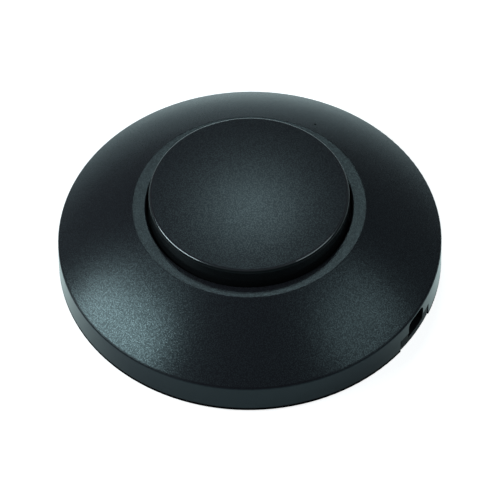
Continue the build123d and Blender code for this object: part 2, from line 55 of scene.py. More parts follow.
view_target = Vector((0.00002, 0.0, 0.00332))
from_photo = Matrix.Rotation(view_turn, 3, "Z")

backward = Vector((0.0, -math.cos(view_elevation), math.sin(view_elevation)))
rightward = Vector((1.0, 0.0, 0.0))
upward = backward.cross(rightward)
rolled_right = rightward * math.cos(view_roll) + upward * math.sin(view_roll)
rolled_up = upward * math.cos(view_roll) - rightward * math.sin(view_roll)
camera = bpy.data.objects.new("camera", bpy.data.cameras.new("camera"))
bpy.context.scene.collection.objects.link(camera)
lens_axes = Matrix((from_photo @ rolled_right, from_photo @ rolled_up, from_photo @ backward))
lens_place = Matrix.Translation(from_photo @ (view_target + backward * view_distance))
camera.matrix_world = lens_place @ lens_axes.transposed().to_4x4()
camera.data.sensor_width = 36.0
camera.data.lens = focal_pixels / image_pixels * camera.data.sensor_width
camera.data.clip_start = 0.05
camera.data.clip_end = 50.0
bpy.context.scene.camera = camera
bpy.context.scene.view_settings.view_transform = "Standard"

# Lamps
# A softbox strip leans in from each side, the left one narrower and much the brighter, and a small
# square lamp hangs high at the back. All are slightly cool, as on the black plastic in the picture.
cool_white = (0.86, 0.97, 1.0)
left_strip = ((-0.88, 0.20, 0.42), (-0.60, -0.37, 0.71))
right_strip = ((0.78, 0.06, 0.60), (0.51, -0.41, 0.75))
left_width, right_width = 0.20, 0.30
back_lamp = ((-0.07, 0.535, 0.84), (0.07, 0.535, 0.84))
left_radiance, right_radiance, back_radiance = 10.8, 1.95, 21.5


def studio_lamp(name, start, end, width, radiance):
    """Rectangular lamp whose long side runs between two points and whose face looks at the origin."""
    start, end = from_photo @ Vector(start), from_photo @ Vector(end)
    along = (end - start).normalized()
    middle = (start + end) / 2
    facing = (middle - middle.dot(along) * along).normalized()
    data = bpy.data.lights.new(name, "AREA")
    data.shape = "RECTANGLE"
    data.size = (end - start).length
    data.size_y = width
    data.energy = radiance * math.pi * data.size * data.size_y
    data.color = cool_white
    lamp = bpy.data.objects.new(name, data)
    turn = Matrix((along, facing.cross(along), facing)).transposed()
    lamp.matrix_world = Matrix.Translation(middle) @ turn.to_4x4()
    bpy.context.scene.collection.objects.link(lamp)


studio_lamp("left_softbox", *left_strip, left_width, left_radiance)
studio_lamp("right_softbox", *right_strip, right_width, right_radiance)
studio_lamp("back_lamp", *back_lamp, back_lamp[1][0] - back_lamp[0][0], back_radiance)

# Floor and surroundings
# A plain white table, white to the camera and matte under the lamps, so that it keeps the shadow. For
# mirrored rays the table also glows, a painted pool of light that the plastic shows as a pale sheet,
# brightest just behind the dimmer, and the room around is mirrored as dim.
table_reach = 6.0
table_albedo = (0.54, 0.62, 0.65, 1.0)
table_glow_seen = 0.88
table_glow_near, table_glow_far = 1.26, 0.045
table_glow_tint = (0.80, 1.0, 0.99, 1.0)
table_glow_fade = (0.045, 0.107)
table_glow_turn = (-0.045, 0.005)
room_colour = (0.80, 0.94, 1.0)
room_dim = 0.13
back_aim = (0.0, 0.60, 0.80)
back_edge = (0.75, 0.97)
back_dim = 0.042
plain_white = (1.0, 1.0, 1.0, 1.0)


def from_photo_direction(vector):
    return tuple(from_photo @ Vector(vector))


def tree_of(owner):
    """Empties a material's or world's node tree and returns it."""
    owner.use_nodes = True
    owner.node_tree.nodes.clear()
    return owner.node_tree


def add(tree, kind, *sources, **settings):
    """New shader node; each source (socket or number) feeds the input of the same number."""
    made = tree.nodes.new("ShaderNode" + kind)
    for key, value in settings.items():
        setattr(made, key, value)
    for index, source in enumerate(sources):
        if isinstance(source, bpy.types.NodeSocket):
            tree.links.new(source, made.inputs[index])
        elif source is not None:
            made.inputs[index].default_value = source
    return made


def arithmetic(tree, operation, first, second=None):
    return add(tree, "Math", first, second, operation=operation).outputs[0]


def smooth_step(tree, value, start, end, low=0.0, high=1.0):
    """Rises smoothly from low to high while the value goes from start to end."""
    ramp = add(tree, "MapRange", value, start, end, low, high, interpolation_type="SMOOTHSTEP")
    return ramp.outputs[0]


table_finish = bpy.data.materials.new("white_table")
tree = tree_of(table_finish)
rays = add(tree, "LightPath").outputs
mirrored_ray = arithmetic(tree, "MAXIMUM", rays["Is Glossy Ray"], rays["Is Transmission Ray"])
spot = add(tree, "TexCoord").outputs["Object"]
reach = add(tree, "VectorMath", spot, operation="LENGTH").outputs["Value"]
behind = add(tree, "VectorMath", spot, from_photo_direction((0.0, 1.0, 0.0)), operation="DOT_PRODUCT")
near_glow = smooth_step(tree, reach, *table_glow_fade, table_glow_near, table_glow_far)
glow_side = smooth_step(tree, behind.outputs["Value"], *table_glow_turn, table_glow_far, 1.0)
pool = arithmetic(tree, "MULTIPLY", near_glow, glow_side)
mirrored_glow = arithmetic(tree, "MULTIPLY", mirrored_ray, pool)
seen_glow = arithmetic(tree, "MULTIPLY", rays["Is Camera Ray"], table_glow_seen)
glow = add(tree, "Emission", None, arithmetic(tree, "MAXIMUM", seen_glow, mirrored_glow))
white_to_camera = add(tree, "Mix", rays["Is Camera Ray"], data_type="RGBA")
white_to_camera.inputs["A"].default_value = table_glow_tint
white_to_camera.inputs["B"].default_value = plain_white
tree.links.new(white_to_camera.outputs["Result"], glow.inputs["Color"])
matte = add(tree, "BsdfDiffuse", table_albedo)
surface = add(tree, "AddShader", matte.outputs[0], glow.outputs[0])
add(tree, "OutputMaterial", surface.outputs[0])
table_mesh = bpy.data.meshes.new("table")
corner_signs = ((-1, -1), (1, -1), (1, 1), (-1, 1))
table_corners = [(x * table_reach, y * table_reach, 0.0) for x, y in corner_signs]
table_mesh.from_pydata(table_corners, [], [(0, 1, 2, 3)])
table_mesh.materials.append(table_finish)
table = bpy.data.objects.new("table", table_mesh)
bpy.context.scene.collection.objects.link(table)

room = bpy.data.worlds.new("room")
bpy.context.scene.world = room
tree = tree_of(room)
rays = add(tree, "LightPath").outputs
direction = add(tree, "TexCoord").outputs["Generated"]
aim = from_photo_direction(back_aim)
toward = add(tree, "VectorMath", direction, aim, operation="DOT_PRODUCT").outputs["Value"]
dim_light = smooth_step(tree, toward, *back_edge, room_dim, back_dim)
shown = arithmetic(tree, "MAXIMUM", dim_light, rays["Is Camera Ray"])
tint = add(tree, "Mix", rays["Is Camera Ray"], data_type="RGBA")
tint.inputs["A"].default_value = room_colour + (1.0,)
tint.inputs["B"].default_value = plain_white
backdrop = add(tree, "Background", tint.outputs["Result"], shown)
add(tree, "OutputWorld", backdrop.outputs[0])

# Top cover
# One injection-moulded shell of black plastic. The mould was spark-eroded, so its cone has a matt grain
# that sparkles, with painted shade in the pits of the grain. The rim wall is smooth. The creases carry
# painted shade, the rim's lower edge a painted shadow line, and a small speck on the cone is dark.
cover_black = (0.0108, 0.0100, 0.0134)
gloss_tint = (0.70, 0.96, 1.0)
plastic_ior = 1.66
cover_roughness = (0.26, 0.34)
grain_size = 0.00022
grain_tilt = 0.22
pit_size = 0.00032
pit_depth = (0.25, 0.60)
pit_shade_levels = (1.0, 0.42)
grain_inner = (0.0299, 0.0304)
grain_outer = (0.0494, 0.0499)
ring_grain, ring_pit_shade = 0.3, 1.0
ring_roughness, wall_roughness = 0.46, 0.32
speck_place = (-0.00025, 0.03367, 0.01988)
speck_radius, speck_middle = 0.00042, 0.6
rim_shadow = (0.0015, 0.0021)
noise_span = (0.3, 0.7)
# Circles of painted shade in the creases, each with the share of reflection left there.
painted_crease_shade = (
    (((0.02975, 0.02990), (0.03005, 0.03020)), 0.75),
    (((0.04922, 0.04940), (0.04962, 0.04980)), 0.38),
)


def finish(name, colour, roughness, **sockets):
    """Material with one Principled shader; named sockets hold its constants, with _ for spaces."""
    material = bpy.data.materials.new(name)
    tree = tree_of(material)
    shader = add(tree, "BsdfPrincipled")
    shader.inputs["Base Color"].default_value = tuple(colour[:3]) + (1.0,)
    shader.inputs["Roughness"].default_value = roughness
    for socket, value in sockets.items():
        shader.inputs[socket.replace("_", " ")].default_value = value
    add(tree, "OutputMaterial", shader.outputs[0])
    return material, tree, shader


def between(tree, factor, low, high, data_type="FLOAT"):
    """Mixes two numbers or colours, each a value or a socket."""
    mix = add(tree, "Mix", factor, data_type=data_type)
    for letter, source in (("A", low), ("B", high)):
        if isinstance(source, bpy.types.NodeSocket):
            tree.links.new(source, mix.inputs[letter])
        elif data_type == "RGBA":
            mix.inputs[letter].default_value = tuple(source[:3]) + (1.0,)
        else:
            mix.inputs[letter].default_value = source
    return mix.outputs["Result"]


def on_piece(tree):
    return add(tree, "TexCoord").outputs["Object"]


def noise(tree, size, detail=2.0, place=None):
    """Noise whose lumps are about that many metres across, from 0 to 1."""
    texture = add(tree, "TexNoise")
    texture.inputs["Scale"].default_value = 1.0 / size
    texture.inputs["Detail"].default_value = detail
    tree.links.new(place or on_piece(tree), texture.inputs["Vector"])
    return texture.outputs["Fac"]


def tone(tree, shader, factor, dark, light, socket="Base Color"):
    """Blends two colours by a factor and feeds the result to a colour socket."""
    tree.links.new(between(tree, factor, dark, light, "RGBA"), shader.inputs[socket])


def raised(tree, height, depth, strength=1.0):
    """Normal of a surface raised by that many metres where the height is 1."""
    bump = add(tree, "Bump", strength)
    bump.inputs["Distance"].default_value = depth
    tree.links.new(height, bump.inputs["Height"])
    return bump.outputs[0]


def spark_grain(tree, shader, share, size, tilt, roughness, plain_roughness):
    """Eroded texture, as far as share says: every spot leans its own way and has its own gloss.

    A spot's lean is a vector of three noises, less its middle, times the tilt. Returns the roughness.
    """
    spots = add(tree, "TexNoise", on_piece(tree))
    spots.inputs["Scale"].default_value = 1.0 / size
    spots.inputs["Detail"].default_value = 2.0
    lean = add(tree, "VectorMath", spots.outputs["Color"], (0.5, 0.5, 0.5), operation="SUBTRACT")
    scaled = add(tree, "VectorMath", lean.outputs[0], operation="SCALE")
    tree.links.new(arithmetic(tree, "MULTIPLY", share, tilt), scaled.inputs["Scale"])
    smooth = add(tree, "NewGeometry").outputs["Normal"]
    leant = add(tree, "VectorMath", smooth, scaled.outputs[0], operation="ADD").outputs[0]
    normal = add(tree, "VectorMath", leant, operation="NORMALIZE").outputs[0]
    tree.links.new(normal, shader.inputs["Normal"])
    matt = smooth_step(tree, spots.outputs["Fac"], *noise_span, *roughness)
    return between(tree, share, plain_roughness, matt)


def painted_pit_shade(tree, share):
    """Reflection left of 1 as painted shade: full on the little bumps and weak in the pits between
    them.
    """
    cells = add(tree, "TexVoronoi", on_piece(tree))
    cells.inputs["Scale"].default_value = 1.0 / pit_size
    shaded_pits = smooth_step(tree, cells.outputs["Distance"], *pit_depth, *pit_shade_levels)
    flat = (pit_shade_levels[0] + pit_shade_levels[1]) / 2
    return between(tree, share, flat, shaded_pits)


def distance_from(tree, point, scale=(1.0, 1.0, 1.0)):
    """Distance in metres on the piece from a point, with each axis scaled first."""
    offset = add(tree, "VectorMath", on_piece(tree), point, operation="SUBTRACT").outputs[0]
    scaled = add(tree, "VectorMath", offset, scale, operation="MULTIPLY").outputs[0]
    return add(tree, "VectorMath", scaled, operation="LENGTH").outputs["Value"]


def from_axis(tree):
    """Distance in metres from the Z axis."""
    return distance_from(tree, (0.0, 0.0, 0.0), (1.0, 1.0, 0.0))


def ring_share(tree, inner, outer, middle=0.0):
    """1 between two circles about the Z axis, 0 outside and middle inside; each edge is (from, to)."""
    inside = smooth_step(tree, from_axis(tree), *inner, middle, 1.0)
    return arithmetic(tree, "MULTIPLY", inside, smooth_step(tree, from_axis(tree), *outer, 1.0, 0.0))


def wear(name, material):
    """Gives a node of the model one material."""
    nodes[name].data.materials.clear()
    nodes[name].data.materials.append(material)


housing_black, tree, shader = finish("housing_black", cover_black, 0.33, IOR=plastic_ior)
grained = ring_share(tree, grain_inner, grain_outer, ring_grain)
plain = smooth_step(tree, from_axis(tree), *grain_outer, ring_roughness, wall_roughness)
gloss = spark_grain(tree, shader, grained, grain_size, grain_tilt, cover_roughness, plain)
tree.links.new(gloss, shader.inputs["Roughness"])
speck_distance = distance_from(tree, speck_place)
speck = smooth_step(tree, speck_distance, speck_radius * speck_middle, speck_radius, 1.0, 0.0)
height = add(tree, "SeparateXYZ", on_piece(tree)).outputs["Z"]
# The rim's lowest band is a painted shadow line: it and the small dark speck are made black, metallic
# and without reflection.
speck_and_rim_shadow = arithmetic(tree, "MAXIMUM", speck, smooth_step(tree, height, *rim_shadow, 1.0, 0.0))
tree.links.new(speck_and_rim_shadow, shader.inputs["Metallic"])
tone(tree, shader, speck_and_rim_shadow, cover_black, (0.0, 0.0, 0.0))
# Painted shade in the pits of the grain, on the ring and the cone.
shaded_pits = painted_pit_shade(tree, ring_share(tree, grain_inner, grain_outer, ring_pit_shade))
shine_with_painted_shade = arithmetic(tree, "MULTIPLY", shaded_pits, arithmetic(tree, "SUBTRACT", 1.0, speck_and_rim_shadow))
# Painted shade in the creases at the ring's outer edge and where the cone meets the rim wall.
for circle, gloss_left in painted_crease_shade:
    crease_shading = smooth_step(tree, ring_share(tree, *circle), 0.0, 1.0, 1.0, gloss_left)
    shine_with_painted_shade = arithmetic(tree, "MULTIPLY", shine_with_painted_shade, crease_shading)
tone(tree, shader, shine_with_painted_shade, (0.0, 0.0, 0.0), gloss_tint, "Specular Tint")
wear("top_cover", housing_black)

# Push button
# One moulded cap of the same plastic, with the same grain a little finer on its domed top, and painted
# shade in the pits of the grain. The rounded edge came from a polished part of the mould and catches
# the lamps. The side wall below is painted darker, with its reflection cut, as painted shade, so it
# looks black.
button_grain_size = 0.00020
button_grain_tilt = 0.26
button_roughness = (0.33, 0.42)
whole_middle = (-0.002, -0.001)
polished_from = (0.02490, 0.02500)
polished_to = (0.02536, 0.02552)
polished_roughness = 0.23
edge_tint = (0.50, 0.66, 0.70)
shaded_wall_gloss = 0.2
shaded_wall_black = (0.0070, 0.0088, 0.0088)
edge_coat = {"Coat_Roughness": 0.15, "Coat_IOR": 1.6}
button_black, tree, shader = finish("button_black", cover_black, 0.3, IOR=plastic_ior, **edge_coat)
grained = ring_share(tree, whole_middle, polished_from)
gloss = spark_grain(
    tree, shader, grained, button_grain_size, button_grain_tilt, button_roughness, polished_roughness
)
tree.links.new(gloss, shader.inputs["Roughness"])
edge = ring_share(tree, polished_from, polished_to)
# Painted shade on the side wall: a darker colour and a fifth of the reflection.
painted_wall_shade = smooth_step(tree, from_axis(tree), *polished_to, 1.0, shaded_wall_gloss)
tone(tree, shader, painted_wall_shade, shaded_wall_black, cover_black)
shine_with_painted_shade = arithmetic(tree, "MULTIPLY", painted_pit_shade(tree, grained), painted_wall_shade)
tinted = between(tree, shine_with_painted_shade, (0.0, 0.0, 0.0), gloss_tint, "RGBA")
tree.links.new(between(tree, edge, tinted, edge_tint, "RGBA"), shader.inputs["Specular Tint"])
tree.links.new(edge, shader.inputs["Coat Weight"])
wear("button_cap", button_black)

# Base plate
# The moulded floor of the housing, screwed on from below, whose two tongues fill the notches under the
# cable ports. It is the same black plastic, a shade flatter, with a dull and very fine grain.
base_colour = (0.0070, 0.0076, 0.0088)
base_tint = (0.16, 0.21, 0.22, 1.0)
base_grain_tilt = 0.12
base_roughness = (0.55, 0.7)
base_black, tree, shader = finish("base_black", base_colour, 0.5, Specular_Tint=base_tint)
gloss = spark_grain(tree, shader, 1.0, grain_size, base_grain_tilt, base_roughness, base_roughness[0])
tree.links.new(gloss, shader.inputs["Roughness"])
wear("base_plate", base_black)

# Rubber feet
# Four round feet of soft black rubber pressed into recesses under the base plate. They are dull, with
# a fine bloom of dust in the surface.
rubber_black, rubber_bloom = (0.014, 0.014, 0.015), (0.045, 0.045, 0.046)
bloom_size = 0.0012
skin_size, skin_depth = 0.0003, 0.00002
foot_rubber, tree, shader = finish("foot_rubber", (0.02, 0.02, 0.021), 0.8)
tone(tree, shader, noise(tree, bloom_size, 4.0), rubber_black, rubber_bloom)
tree.links.new(raised(tree, noise(tree, skin_size, 2.0), skin_depth), shader.inputs["Normal"])
wear("rubber_feet", foot_rubber)

# Return spring
# A compression spring of drawn spring steel with closed and ground end turns, between the well's floor
# and the seat under the cap. It shortens as the button goes down, but this wire is built at one length.
# The bright wire has fine draw lines.
spring_mean_radius = 0.0070
spring_wire_radius = 0.0005
spring_low, spring_high = 0.0165, 0.0256
spring_turns = 4.5
spring_ground = 0.0002
closed_turns, opening_turns = 0.7, 0.6
spring_steps, spring_sides = 48, 16
metal_patch, metal_dullness = 0.0015, 0.85
metal_gloss = (0.8, 1.3)
crisp_edge_angle = math.radians(40.0)


def grid_mesh(name, points, looped=False):
    """Object from a grid of points, rows by columns by xyz, whose columns close into a ring.

    The rows close into a ring too if looped, and else each end row is closed with one flat face. The
    faces are turned outwards if the volume they bound, the sum of p . (q x r) / 6, comes out negative.
    """
    rows, columns = points.shape[:2]
    corner = np.arange(rows * columns).reshape(rows, columns)
    lower = corner if looped else corner[:-1]
    upper = np.roll(corner, -1, axis=0) if looped else corner[1:]
    lower_next, upper_next = np.roll(lower, -1, axis=1), np.roll(upper, -1, axis=1)
    faces = np.stack((lower, lower_next, upper_next, upper), axis=-1).reshape(-1, 4)
    flat = points.reshape(-1, 3)
    p, q, r, t = (flat[faces[:, side]] for side in range(4))
    volume = np.sum(p * np.cross(q, r)) + np.sum(p * np.cross(r, t))
    ends = [] if looped else [corner[0][::-1].tolist(), corner[-1].tolist()]
    faces = faces.tolist() + ends
    if volume < 0.0:
        faces = [face[::-1] for face in faces]
    mesh = bpy.data.meshes.new(name)
    mesh.from_pydata(flat.tolist(), [], faces)
    mesh.shade_smooth()
    mesh.set_sharp_from_angle(angle=crisp_edge_angle)
    made = bpy.data.objects.new(name, mesh)
    bpy.context.scene.collection.objects.link(made)
    return made


def wire_along(path, radius, sides):
    """Grid of points round a path: point + radius (cos a normal + sin a binormal), a once round."""
    forward = np.gradient(path, axis=0)
    forward /= np.linalg.norm(forward, axis=1, keepdims=True)
    normal = np.cross(forward, (0.0, 0.0, 1.0))
    normal /= np.linalg.norm(normal, axis=1, keepdims=True)
    binormal = np.cross(normal, forward)
    angle = np.linspace(0.0, 2.0 * np.pi, sides, endpoint=False)[None, :, None]
    ring = np.cos(angle) * normal[:, None, :] + np.sin(angle) * binormal[:, None, :]
    return path[:, None, :] + radius * ring


def metal(name, colour, roughness, lines=None, depth=0.000004, size=0.0004):
    """Bare metal with slightly uneven gloss and, if lines gives a scale for each axis, fine lines."""
    material, tree, shader = finish(name, colour, roughness, Metallic=1.0)
    patchy = noise(tree, metal_patch, 4.0)
    gloss = smooth_step(tree, patchy, *noise_span, *(share * roughness for share in metal_gloss))
    tree.links.new(gloss, shader.inputs["Roughness"])
    tone(tree, shader, patchy, [metal_dullness * part for part in colour], colour)
    place = on_piece(tree)
    if lines:
        place = add(tree, "VectorMath", place, lines, operation="MULTIPLY").outputs[0]
    tree.links.new(raised(tree, noise(tree, size, 3.0, place), depth), shader.inputs["Normal"])
    return material


def closed_climb(turns, height):
    """Height gained along the wire: one wire thickness a turn at both ends, and steeper between."""
    from_end = np.minimum(turns, turns[-1] - turns)
    steeper = np.clip((from_end - closed_turns) / opening_turns, 0.0, 1.0)
    step = turns[1] - turns[0]
    flat = 2.0 * spring_wire_radius * turns
    gained = np.concatenate(([0.0], np.cumsum((steeper[1:] + steeper[:-1]) / 2.0) * step))
    return flat + gained * (height - flat[-1]) / gained[-1]


turn = np.linspace(0.0, 2.0 * np.pi * spring_turns, int(spring_turns * spring_steps) + 1)
climb = closed_climb(turn / (2.0 * np.pi), spring_high - spring_low - 2.0 * spring_ground)
climb += spring_low + spring_ground
helix = np.stack((spring_mean_radius * np.cos(turn), spring_mean_radius * np.sin(turn), climb), axis=1)
coil = wire_along(helix, spring_wire_radius, spring_sides)
coil[..., 2] = np.clip(coil[..., 2], spring_low, spring_high)
spring = grid_mesh("spring_wire", coil)
spring_steel = metal("spring_steel", (0.60, 0.61, 0.62), 0.26, (1.0, 1.0, 8.0))
spring.data.materials.append(spring_steel)
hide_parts("return_spring")
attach(spring, "housing")
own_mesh(spring)

# Circuit board
# A round plate of glass-fibre laminate under green solder mask. The broad copper areas show through it
# as lighter, slightly raised fields with narrow gaps, and the cut edge shows the bare laminate.
board_edge = (0.03696, 0.03699)
copper_size = 0.0085
copper_gap = (0.035, 0.055)
copper_depth = 0.00004
weave_size, weave_share = 0.0004, 0.15
mask_roughness = (0.28, 0.42)
mask_dark, mask_light = (0.008, 0.075, 0.026), (0.020, 0.135, 0.050)
bare_laminate = (0.32, 0.30, 0.16)


def reading(tree, direction, point=(0.0, 0.0, 0.0)):
    """Distance in metres along a direction from a point, for every spot on the piece."""
    offset = add(tree, "VectorMath", on_piece(tree), point, operation="SUBTRACT").outputs[0]
    return add(tree, "VectorMath", offset, direction, operation="DOT_PRODUCT").outputs["Value"]


def beyond(tree, value, edge):
    """1 where the value is more than the edge, else 0."""
    return arithmetic(tree, "GREATER_THAN", value, edge)


board_green, tree, shader = finish("board_laminate", (0.02, 0.12, 0.045), 0.35)
plan = add(tree, "VectorMath", on_piece(tree), (1.0, 1.0, 0.0), operation="MULTIPLY").outputs[0]
plots = add(tree, "TexVoronoi", plan, feature="DISTANCE_TO_EDGE")
plots.inputs["Scale"].default_value = 1.0 / copper_size
copper = smooth_step(tree, plots.outputs["Distance"], *copper_gap)
rim = smooth_step(tree, from_axis(tree), *board_edge)
weave = noise(tree, weave_size, 2.0)
masked = between(tree, copper, mask_dark, mask_light, "RGBA")
tree.links.new(between(tree, rim, masked, bare_laminate, "RGBA"), shader.inputs["Base Color"])
relief = arithmetic(tree, "ADD", copper, arithmetic(tree, "MULTIPLY", weave, weave_share))
tree.links.new(raised(tree, relief, copper_depth), shader.inputs["Normal"])
tree.links.new(smooth_step(tree, weave, *noise_span, *mask_roughness), shader.inputs["Roughness"])
wear("circuit_board", board_green)

# Push switch
# A momentary switch soldered to the middle of the board: a case of glass-filled black plastic with a
# stamped, tinned lid crimped over its top.
switch_lid_from = 0.0117
switch_case = (0.018, 0.018, 0.019)
tinned = (0.72, 0.72, 0.70)
plastic_patch = 0.0025
plastic_tones = (0.82, 1.12)
plastic_gloss = (0.85, 1.15)
texture_size, texture_depth = 0.00024, 0.00001


def plastic(name, colour, roughness):
    """Moulded or dipped plastic: slightly uneven tone and gloss under a very fine texture.

    Returns the material, its tree and its shader.
    """
    material, tree, shader = finish(name, colour, roughness)
    patchy = noise(tree, plastic_patch, 4.0)
    dark, light = ([share * part for part in colour] for share in plastic_tones)
    tone(tree, shader, patchy, dark, light)
    gloss = smooth_step(tree, patchy, *noise_span, *(share * roughness for share in plastic_gloss))
    tree.links.new(gloss, shader.inputs["Roughness"])
    texture = noise(tree, texture_size, 2.0)
    tree.links.new(raised(tree, texture, texture_depth), shader.inputs["Normal"])
    return material, tree, shader


def with_metal(tree, shader, where, colour, roughness=(0.4, 0.25)):
    """Makes the part where the mask is 1 tinned metal and leaves the rest the given colour."""
    tone(tree, shader, where, colour, tinned)
    tree.links.new(where, shader.inputs["Metallic"])
    tree.links.new(smooth_step(tree, where, 0.0, 1.0, *roughness), shader.inputs["Roughness"])


switch_black, tree, shader = plastic("switch_plastic", switch_case, 0.45)
lid = beyond(tree, reading(tree, (0.0, 0.0, 1.0)), switch_lid_from)
with_metal(tree, shader, lid, switch_case)
wear("push_switch_body", switch_black)

# Switch plunger
# A turned pin of natural white acetal with a flange that the switch's lid holds down. It slides in the
# lid and has a soft satin surface.
plunger_white = plastic("plunger_plastic", (0.80, 0.79, 0.74), 0.38)[0]
wear("switch_plunger", plunger_white)

# Triac and its heat sink
# The triac lies on a folded sink of aluminium sheet: a black epoxy body on a tinned copper tab with
# three tinned leads. The sink is mill finished, with the rolling lines of the sheet along it.
triac_angle, triac_middle = 270.0, 0.0215
triac_half_depth = 0.0046
tab_top = 0.0096
epoxy_black = (0.016, 0.016, 0.017)
lead_roughness = (0.5, 0.3)
clear_of_body = 0.00002


def around(angle):
    """Unit vectors outwards and along the circle, counter-clockwise, at an angle in degrees."""
    turn = math.radians(angle)
    return (math.cos(turn), math.sin(turn), 0.0), (-math.sin(turn), math.cos(turn), 0.0)


triac_black, tree, shader = plastic("chip_epoxy", epoxy_black, 0.5)
outwards = around(triac_angle)[0]
distance = reading(tree, outwards)
height = reading(tree, (0.0, 0.0, 1.0))
leads = beyond(tree, triac_middle - triac_half_depth + clear_of_body, distance)
tab = arithmetic(tree, "SUBTRACT", 1.0, beyond(tree, height, tab_top))
past_body = beyond(tree, distance, triac_middle + triac_half_depth - clear_of_body)
tab = arithmetic(tree, "MULTIPLY", tab, past_body)
with_metal(tree, shader, arithmetic(tree, "MAXIMUM", leads, tab), epoxy_black, lead_roughness)
wear("triac", triac_black)
sink_aluminium = metal("sink_aluminium", (0.78, 0.79, 0.80), 0.34, (12.0, 1.0, 1.0), 0.00001)
wear("heat_sink", sink_aluminium)

# Screws
# Cold-headed steel screws with pan heads and a slot, driven into the moulded posts, the heat sink and
# the terminals. Their zinc plating is bright and a little cloudy.
screw_steel = metal("screw_steel", (0.66, 0.67, 0.68), 0.30)
for name in ("triac_screw", "terminal_screws", "cord_grip_screws", "housing_screws", "board_screws"):
    wear(name, screw_steel)

# Interference choke
# A ring core of pressed iron powder under a yellow coating, wound with enamelled copper wire round
# most of it. The wire lies in close turns, each bent tightly over the core's edges.
choke_middle_angle, choke_circle = 130.0, 0.0256
core_outer, core_inner, core_low, core_high = 0.0080, 0.0044, 0.0081, 0.0131
wound_part = math.radians(300.0)
wire_radius = 0.00036
wire_clearance = 0.00005
winding_turns = 52
turn_steps, wire_sides = 24, 8
copper_dark, copper_light = (0.50, 0.15, 0.04), (0.75, 0.28, 0.10)
copper_patch = 0.0012


def round_core(turns, steps):
    """Path of the wire: a rounded rectangle about the core's section, carried round the ring.

    With u going once round per turn: x = a cos u / m, z = b sin u / m, m = (cos^6 u + sin^6 u)^(1/6).
    """
    u = np.linspace(0.0, 2.0 * np.pi * turns, turns * steps + 1)
    square = (np.cos(u) ** 6 + np.sin(u) ** 6) ** (1.0 / 6.0)
    half_width = (core_outer - core_inner) / 2 + wire_radius + wire_clearance
    half_height = (core_high - core_low) / 2 + wire_radius + wire_clearance
    radius = (core_outer + core_inner) / 2 + half_width * np.cos(u) / square
    height = (core_low + core_high) / 2 + half_height * np.sin(u) / square
    angle = (np.pi * 2 - wound_part) / 2 + wound_part * u / u[-1]
    return np.stack((radius * np.cos(angle), radius * np.sin(angle), height), axis=1), angle


def wire_round_core(path, angle, radius, sides):
    """Points round the winding's path: point + radius (cos a side + sin a across).

    Side runs along the ring and across is square to it and to the wire.
    """
    forward = np.gradient(path, axis=0)
    forward /= np.linalg.norm(forward, axis=1, keepdims=True)
    along_ring = np.stack((-np.sin(angle), np.cos(angle), 0.0 * angle), axis=1)
    side = along_ring - forward * np.sum(along_ring * forward, axis=1, keepdims=True)
    side /= np.linalg.norm(side, axis=1, keepdims=True)
    across = np.cross(forward, side)
    a = np.linspace(0.0, 2.0 * np.pi, sides, endpoint=False)[None, :, None]
    return path[:, None, :] + radius * (np.cos(a) * side[:, None, :] + np.sin(a) * across[:, None, :])


core_coat = plastic("core_coating", (0.72, 0.52, 0.06), 0.42)[0]
wear("choke_core", core_coat)
path, angle = round_core(winding_turns, turn_steps)
winding_points = wire_round_core(path, angle, wire_radius, wire_sides)
outwards, sideways = around(choke_middle_angle)
spun = np.array((outwards, sideways, (0.0, 0.0, 1.0)))
centre = choke_circle * np.array(outwards)
winding = grid_mesh("choke_wire", winding_points @ spun + centre)
enamel = {"Metallic": 1.0, "Coat_Weight": 0.6}
enamelled, tree, shader = finish("copper_winding", (0.62, 0.20, 0.06), 0.24, **enamel)
tone(tree, shader, noise(tree, copper_patch, 3.0), copper_dark, copper_light)
winding.data.materials.append(enamelled)
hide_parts("choke_winding")
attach(winding, "housing")

# Film capacitor
# An interference capacitor, wound film in a moulded box of yellow plastic that is filled with resin
# from below. It is soldered to the board.
film_yellow = plastic("film_box", (0.70, 0.42, 0.05), 0.4)[0]
wear("film_capacitor", film_yellow)

# Electrolytic capacitor
# An aluminium can lying on the board in a dark blue shrunk sleeve with a pale stripe along its
# negative side. The sleeve leaves the end of the can bare.
can_place = (98.0, 0.0320)
sleeve_half_length = 0.0052
can_axis_height = 0.01025
stripe_from = 0.0018
sleeve_colour, stripe_colour = (0.012, 0.018, 0.075), (0.45, 0.50, 0.56)
bare_can = (0.78, 0.79, 0.80)
sleeve_blue, tree, shader = plastic("can_sleeve", sleeve_colour, 0.3)
outwards, sideways = around(can_place[0])
centre = tuple(can_place[1] * part for part in outwards[:2]) + (can_axis_height,)
stripe = beyond(tree, reading(tree, outwards, centre), stripe_from)
sleeve = between(tree, stripe, sleeve_colour, stripe_colour, "RGBA")
along = arithmetic(tree, "ABSOLUTE", reading(tree, sideways, centre))
bare = beyond(tree, along, sleeve_half_length)
tree.links.new(between(tree, bare, sleeve, bare_can, "RGBA"), shader.inputs["Base Color"])
tree.links.new(bare, shader.inputs["Metallic"])
wear("electrolytic_capacitor", sleeve_blue)

# Power resistor
# A film resistor on a ceramic rod, under grey-blue lacquer with four painted rings. Its tinned wire
# ends are bent down and soldered to the board.
resistor_place = (318.0, 0.0116)
resistor_axis_height = 0.0096
resistor_half_length = 0.0060
resistor_rings = (
    (-0.0036, (0.05, 0.02, 0.01)),
    (-0.0019, (0.02, 0.02, 0.02)),
    (-0.0002, (0.55, 0.14, 0.02)),
    (0.0034, (0.50, 0.34, 0.06)),
)
ring_half_width = 0.00045
resistor_lacquer = (0.20, 0.34, 0.39)


